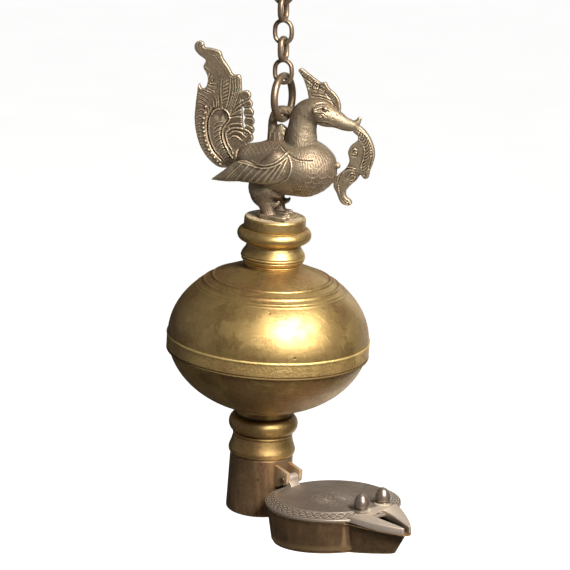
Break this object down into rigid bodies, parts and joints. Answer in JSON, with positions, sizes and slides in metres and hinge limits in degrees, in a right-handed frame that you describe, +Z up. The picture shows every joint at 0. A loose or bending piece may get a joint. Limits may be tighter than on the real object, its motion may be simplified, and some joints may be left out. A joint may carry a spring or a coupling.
{
  "type": "hanging oil lamp",
  "caption": "Hanging bronze oil lamp: chain and ring, goose finial on a plinth, oval oil reservoir, feed cup, and a heart-shaped lamp pan with a hinged lid.",
  "frame": {"origin": "the point under the crown of the top hook, where a ceiling hook or nail carries the lamp", "axes": "+Z up along the plumb line of the chain; the goose faces 15 degrees from +X toward -Y; -Y is the side seen in the picture"},
  "size_m": [0.2128, 0.2216, 0.5504],
  "materials": {
    "chain": "worn reddish bronze, satin",
    "goose": "cast bronze with dusty highlights and dark recesses",
    "reservoir": "turned golden bronze, satin",
    "pan": "dark brown bronze, satin",
    "lid": "grey-brown scratched bronze, matt",
    "knob": "grey-brown polished bronze"
  },
  "bodies": {
    "hook": {"top_hook": "chain"},
    "link_1": {"chain_link_1": "chain"},
    "link_2": {"chain_link_2": "chain"},
    "link_3": {"chain_link_3": "chain"},
    "ring": {"suspension_ring": "chain"},
    "lamp": {"goose_body": "goose", "tail_fan": "goose", "crest": "goose", "beak_sprig": "goose", "plinth": "reservoir", "upper_neck": "reservoir", "reservoir_upper_bowl": "reservoir", "reservoir_band": "reservoir", "reservoir_lower_bowl": "reservoir", "lower_neck": "reservoir", "dip_tube": "reservoir"},
    "feed": {"feed_cup": "pan", "lid_hinge_pin": "pan", "feed_tube": "pan", "lamp_pan": "pan"},
    "lid": {"lid": "lid", "knob_near": "knob", "knob_far": "knob"}
  },
  "joints": [
    {"name": "link_1_swing", "type": "hinge", "parent": "hook", "child": "link_1", "pos_m": [0, 0, -0.043], "axis": [0.9397, -0.342, 0], "range_deg": [-45, 45]},
    {"name": "link_2_swing", "type": "hinge", "parent": "link_1", "child": "link_2", "pos_m": [0, 0, -0.0728], "axis": [0.342, 0.9397, 0], "range_deg": [-45, 45]},
    {"name": "link_3_swing", "type": "hinge", "parent": "link_2", "child": "link_3", "pos_m": [0, 0, -0.1116], "axis": [0.9397, -0.342, 0], "range_deg": [-45, 45]},
    {"name": "ring_swing", "type": "hinge", "parent": "link_3", "child": "ring", "pos_m": [0, 0, -0.1459], "axis": [0.9397, -0.342, 0], "range_deg": [-45, 45]},
    {"name": "lamp_swing", "type": "hinge", "parent": "ring", "child": "lamp", "pos_m": [0, 0, -0.1773], "axis": [0.4226, 0.9063, 0], "range_deg": [-5, 35]},
    {"name": "cup_turn", "type": "hinge", "parent": "lamp", "child": "feed", "pos_m": [-0.01908, 0.01793, -0.48082], "axis": [0.0563, -0.0572, 0.9968], "continuous": true},
    {"name": "lid_open", "type": "hinge", "parent": "feed", "child": "lid", "pos_m": [0.00704, -0.00771, -0.49851], "axis": [-0.7009, -0.7132, -0.0013], "range_deg": [0, 55]}
  ]
}
